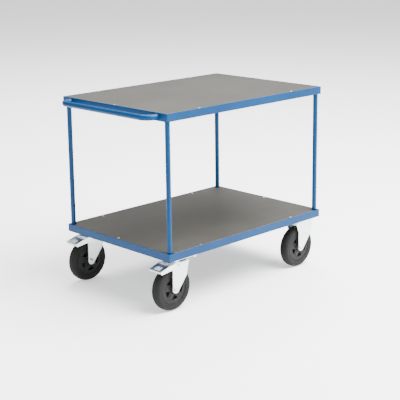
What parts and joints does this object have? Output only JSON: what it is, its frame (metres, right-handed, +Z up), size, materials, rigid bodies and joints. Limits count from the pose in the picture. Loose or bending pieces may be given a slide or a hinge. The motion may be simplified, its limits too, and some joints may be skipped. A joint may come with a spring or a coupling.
{
  "type": "platform trolley",
  "caption": "Platform trolley with an upper and a lower flush deck on round posts, a bent tube push handle, braked swivel casters at the handle end and fixed casters at the other.",
  "frame": {"origin": "on the floor under the middle of the outline, handle included", "axes": "+X forward, away from the push handle; +Y to the left of a person who pushes; +Z up"},
  "size_m": [1.07, 0.7, 0.88],
  "materials": {
    "blue_paint": "semi-gloss powder coat",
    "board": "grey-brown film-faced board, fine grain, satin",
    "zinc_plate": "bright zinc-plated pressed steel",
    "bright_zinc": "zinc-plated fasteners",
    "ball_steel": "ground steel",
    "tyre": "black solid rubber, matte",
    "hub_plastic": "moulded black plastic",
    "shoe_rubber": "black rubber block"
  },
  "bodies": {
    "chassis": {"upper_rail_left": "blue_paint", "upper_rail_right": "blue_paint", "upper_rail_front": "blue_paint", "upper_rail_rear": "blue_paint", "upper_board": "board", "upper_board_screws": "bright_zinc", "lower_rail_left": "blue_paint", "lower_rail_right": "blue_paint", "lower_rail_front": "blue_paint", "lower_rail_rear": "blue_paint", "lower_board": "board", "lower_board_screws": "bright_zinc", "post_front_left": "blue_paint", "post_front_right": "blue_paint", "caster_channel_front": "blue_paint", "caster_bolts_front_left": "bright_zinc", "caster_bolts_front_right": "bright_zinc", "post_rear_left": "blue_paint", "post_rear_right": "blue_paint", "caster_channel_rear": "blue_paint", "caster_bolts_rear_left": "bright_zinc", "caster_bolts_rear_right": "bright_zinc", "push_handle": "blue_paint", "upper_stiffener": "blue_paint", "swivel_plate_left": "zinc_plate", "fixed_fork_left": "zinc_plate", "kingpin_left": "bright_zinc", "axle_bolt_front_left": "bright_zinc", "axle_sleeve_front_left": "ball_steel", "swivel_plate_right": "zinc_plate", "fixed_fork_right": "zinc_plate", "kingpin_right": "bright_zinc", "axle_bolt_front_right": "bright_zinc", "axle_sleeve_front_right": "ball_steel"},
    "swivel_left": {"swivel_fork_left": "zinc_plate", "swivel_balls_left": "ball_steel", "brake_pin_left": "bright_zinc", "axle_bolt_rear_left": "bright_zinc", "axle_sleeve_rear_left": "ball_steel"},
    "brake_left": {"brake_lever_left": "zinc_plate", "brake_shoe_left": "shoe_rubber"},
    "wheel_rear_left": {"tyre_rear_left": "tyre", "hub_rear_left": "hub_plastic", "roller_bearing_rear_left": "ball_steel"},
    "wheel_front_left": {"tyre_front_left": "tyre", "hub_front_left": "hub_plastic", "roller_bearing_front_left": "ball_steel"},
    "swivel_right": {"swivel_fork_right": "zinc_plate", "swivel_balls_right": "ball_steel", "brake_pin_right": "bright_zinc", "axle_bolt_rear_right": "bright_zinc", "axle_sleeve_rear_right": "ball_steel"},
    "brake_right": {"brake_lever_right": "zinc_plate", "brake_shoe_right": "shoe_rubber"},
    "wheel_rear_right": {"tyre_rear_right": "tyre", "hub_rear_right": "hub_plastic", "roller_bearing_rear_right": "ball_steel"},
    "wheel_front_right": {"tyre_front_right": "tyre", "hub_front_right": "hub_plastic", "roller_bearing_front_right": "ball_steel"}
  },
  "joints": [
    {"name": "swivel_turn_left", "type": "hinge", "parent": "chassis", "child": "swivel_left", "pos_m": [-0.359, 0.29, 0.221], "axis": [0, 0, 1], "continuous": true},
    {"name": "wheel_spin_rear_left", "type": "hinge", "parent": "swivel_left", "child": "wheel_rear_left", "pos_m": [-0.405, 0.29, 0.1], "axis": [0, 1, 0], "continuous": true},
    {"name": "wheel_spin_front_left", "type": "hinge", "parent": "chassis", "child": "wheel_front_left", "pos_m": [0.43, 0.29, 0.1], "axis": [0, 1, 0], "continuous": true},
    {"name": "brake_press_left", "type": "hinge", "parent": "swivel_left", "child": "brake_left", "pos_m": [-0.391, 0.29, 0.207], "axis": [0, -1, 0], "range_deg": [0, 10]},
    {"name": "swivel_turn_right", "type": "hinge", "parent": "chassis", "child": "swivel_right", "pos_m": [-0.359, -0.29, 0.221], "axis": [0, 0, 1], "continuous": true},
    {"name": "wheel_spin_rear_right", "type": "hinge", "parent": "swivel_right", "child": "wheel_rear_right", "pos_m": [-0.405, -0.29, 0.1], "axis": [0, 1, 0], "continuous": true},
    {"name": "wheel_spin_front_right", "type": "hinge", "parent": "chassis", "child": "wheel_front_right", "pos_m": [0.43, -0.29, 0.1], "axis": [0, 1, 0], "continuous": true},
    {"name": "brake_press_right", "type": "hinge", "parent": "swivel_right", "child": "brake_right", "pos_m": [-0.391, -0.29, 0.207], "axis": [0, -1, 0], "range_deg": [0, 10]}
  ]
}
